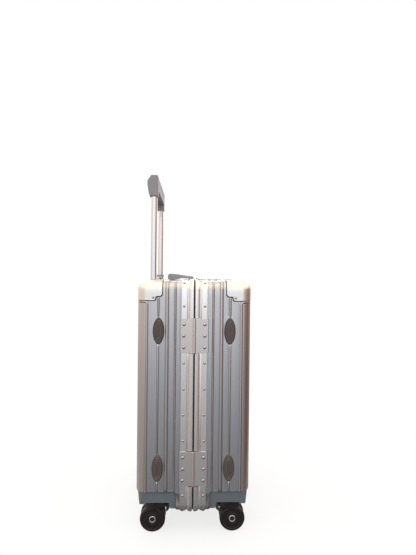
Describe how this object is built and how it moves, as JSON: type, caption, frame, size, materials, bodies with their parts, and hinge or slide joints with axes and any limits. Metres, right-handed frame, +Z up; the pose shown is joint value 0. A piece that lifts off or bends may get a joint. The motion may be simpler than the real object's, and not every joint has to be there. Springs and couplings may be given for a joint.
{
  "type": "hard shell suitcase",
  "caption": "Ribbed aluminium-frame cabin case that opens on side hinges, with swivelling twin-wheel casters, telescopic trolley handle, fold-down carry handles and hasp latches.",
  "frame": {"origin": "bottom centre of the whole object's box, on the floor under the wheels", "axes": "+Z up, +Y towards the back half with the trolley, +X towards the latch side, hinges at -X"},
  "size_m": [0.3944, 0.2486, 0.7981],
  "materials": {
    "shell": "satin anodised",
    "frame": "satin anodised",
    "seal": "matte",
    "rivet": "satin",
    "hinge": "satin",
    "foot": "fine grain",
    "tube": "bright anodised",
    "collar": "satin",
    "grip": "fine grain",
    "button": "satin",
    "bezel": "fine grain",
    "handle": "fine grain",
    "handle_mount": "fine grain",
    "latch": "satin",
    "plate": "satin",
    "pad": "satin",
    "lining": "woven",
    "strap": "webbing",
    "cap": "satin",
    "housing": "fine grain",
    "fork": "gloss",
    "axle": "bright",
    "wheel": "satin"
  },
  "bodies": {
    "case": {"back_shell": "shell", "back_frame": "frame", "frame_seal": "seal", "rivets_back": "rivet", "hinge_leaves_back": "hinge", "hinge_pins": "rivet", "side_feet_back": "foot", "trolley_outer_tubes": "tube", "trolley_bezel": "bezel", "top_handle_mounts": "handle_mount", "side_handle_mounts": "handle_mount", "latch_bases": "latch", "lining_back": "lining", "packing_straps": "strap", "swivel_pins_back": "rivet", "corner_cap_back_hinge": "cap", "corner_cap_back_latch": "cap", "caster_housing_back_hinge": "housing", "caster_housing_back_latch": "housing"},
    "lid": {"front_shell": "shell", "front_frame": "frame", "rivets_front": "rivet", "hinge_leaves_front": "hinge", "side_feet_front": "foot", "latch_catches": "latch", "name_plate": "plate", "frame_pad": "pad", "lining_front": "lining", "swivel_pins_front": "rivet", "corner_cap_front_hinge": "cap", "corner_cap_front_latch": "cap", "caster_housing_front_hinge": "housing", "caster_housing_front_latch": "housing"},
    "trolley": {"trolley_inner_tubes": "tube", "trolley_grip": "grip"},
    "middle_near": {"trolley_middle_tube_near": "tube", "trolley_collar_near": "collar"},
    "middle_far": {"trolley_middle_tube_far": "tube", "trolley_collar_far": "collar"},
    "button": {"trolley_button": "button"},
    "carry_top": {"top_handle": "handle"},
    "carry_side": {"side_handle": "handle"},
    "hasp_upper": {"upper_latch_hasp": "latch"},
    "hasp_lower": {"lower_latch_hasp": "latch"},
    "caster_back_hinge": {"caster_fork_back_hinge": "fork", "caster_axle_back_hinge": "axle"},
    "outer_wheel_back_hinge": {"outer_wheel_back_hinge": "wheel"},
    "inner_wheel_back_hinge": {"inner_wheel_back_hinge": "wheel"},
    "caster_back_latch": {"caster_fork_back_latch": "fork", "caster_axle_back_latch": "axle"},
    "outer_wheel_back_latch": {"outer_wheel_back_latch": "wheel"},
    "inner_wheel_back_latch": {"inner_wheel_back_latch": "wheel"},
    "caster_front_hinge": {"caster_fork_front_hinge": "fork", "caster_axle_front_hinge": "axle"},
    "outer_wheel_front_hinge": {"outer_wheel_front_hinge": "wheel"},
    "inner_wheel_front_hinge": {"inner_wheel_front_hinge": "wheel"},
    "caster_front_latch": {"caster_fork_front_latch": "fork", "caster_axle_front_latch": "axle"},
    "outer_wheel_front_latch": {"outer_wheel_front_latch": "wheel"},
    "inner_wheel_front_latch": {"inner_wheel_front_latch": "wheel"}
  },
  "joints": [
    {"name": "lid_hinge", "type": "hinge", "parent": "case", "child": "lid", "pos_m": [-0.19275, 0, 0.302], "axis": [0, 0, -1], "range_deg": [0, 165]},
    {"name": "trolley_slide", "type": "slide", "parent": "case", "child": "trolley", "axis": [0, 0, 1], "range_m": [-0.18, 0.235]},
    {"name": "middle_near_slide", "type": "slide", "parent": "case", "child": "middle_near", "axis": [0, 0, 1], "range_m": [0, 0.18]},
    {"name": "middle_far_slide", "type": "slide", "parent": "case", "child": "middle_far", "axis": [0, 0, 1], "range_m": [-0.011, 0.17]},
    {"name": "release_button", "type": "slide", "parent": "trolley", "child": "button", "axis": [0, 0, -1], "range_m": [0, 0.0025], "stiffness_N_per_m": 400, "springref_m": -0.003},
    {"name": "top_handle_turn", "type": "hinge", "parent": "case", "child": "carry_top", "pos_m": [-0.00375, 0.009, 0.5592], "axis": [1, 0, 0], "range_deg": [0, 95]},
    {"name": "side_handle_turn", "type": "hinge", "parent": "case", "child": "carry_side", "pos_m": [0.18745, 0.009, 0.302], "axis": [0, 0, -1], "range_deg": [0, 95]},
    {"name": "upper_hasp", "type": "hinge", "parent": "case", "child": "hasp_upper", "pos_m": [0.18925, 0.031, 0.435], "axis": [0, 0, 1], "range_deg": [0, 110]},
    {"name": "lower_hasp", "type": "hinge", "parent": "case", "child": "hasp_lower", "pos_m": [0.18925, 0.031, 0.148], "axis": [0, 0, 1], "range_deg": [0, 110]},
    {"name": "swivel_back_hinge", "type": "hinge", "parent": "case", "child": "caster_back_hinge", "pos_m": [-0.15475, 0.0765, 0.06], "axis": [0, 0, 1], "continuous": true},
    {"name": "outer_roll_back_hinge", "type": "hinge", "parent": "caster_back_hinge", "child": "outer_wheel_back_hinge", "pos_m": [-0.15475, 0.088, 0.028], "axis": [1, 0, 0], "continuous": true},
    {"name": "inner_roll_back_hinge", "type": "hinge", "parent": "caster_back_hinge", "child": "inner_wheel_back_hinge", "pos_m": [-0.15475, 0.088, 0.028], "axis": [1, 0, 0], "continuous": true},
    {"name": "swivel_back_latch", "type": "hinge", "parent": "case", "child": "caster_back_latch", "pos_m": [0.14725, 0.0765, 0.06], "axis": [0, 0, 1], "continuous": true},
    {"name": "outer_roll_back_latch", "type": "hinge", "parent": "caster_back_latch", "child": "outer_wheel_back_latch", "pos_m": [0.14725, 0.088, 0.028], "axis": [1, 0, 0], "continuous": true},
    {"name": "inner_roll_back_latch", "type": "hinge", "parent": "caster_back_latch", "child": "inner_wheel_back_latch", "pos_m": [0.14725, 0.088, 0.028], "axis": [1, 0, 0], "continuous": true},
    {"name": "swivel_front_hinge", "type": "hinge", "parent": "lid", "child": "caster_front_hinge", "pos_m": [-0.15475, -0.0765, 0.06], "axis": [0, 0, 1], "continuous": true},
    {"name": "outer_roll_front_hinge", "type": "hinge", "parent": "caster_front_hinge", "child": "outer_wheel_front_hinge", "pos_m": [-0.15475, -0.088, 0.028], "axis": [1, 0, 0], "continuous": true},
    {"name": "inner_roll_front_hinge", "type": "hinge", "parent": "caster_front_hinge", "child": "inner_wheel_front_hinge", "pos_m": [-0.15475, -0.088, 0.028], "axis": [1, 0, 0], "continuous": true},
    {"name": "swivel_front_latch", "type": "hinge", "parent": "lid", "child": "caster_front_latch", "pos_m": [0.14725, -0.0765, 0.06], "axis": [0, 0, 1], "continuous": true},
    {"name": "outer_roll_front_latch", "type": "hinge", "parent": "caster_front_latch", "child": "outer_wheel_front_latch", "pos_m": [0.14725, -0.088, 0.028], "axis": [1, 0, 0], "continuous": true},
    {"name": "inner_roll_front_latch", "type": "hinge", "parent": "caster_front_latch", "child": "inner_wheel_front_latch", "pos_m": [0.14725, -0.088, 0.028], "axis": [1, 0, 0], "continuous": true}
  ]
}
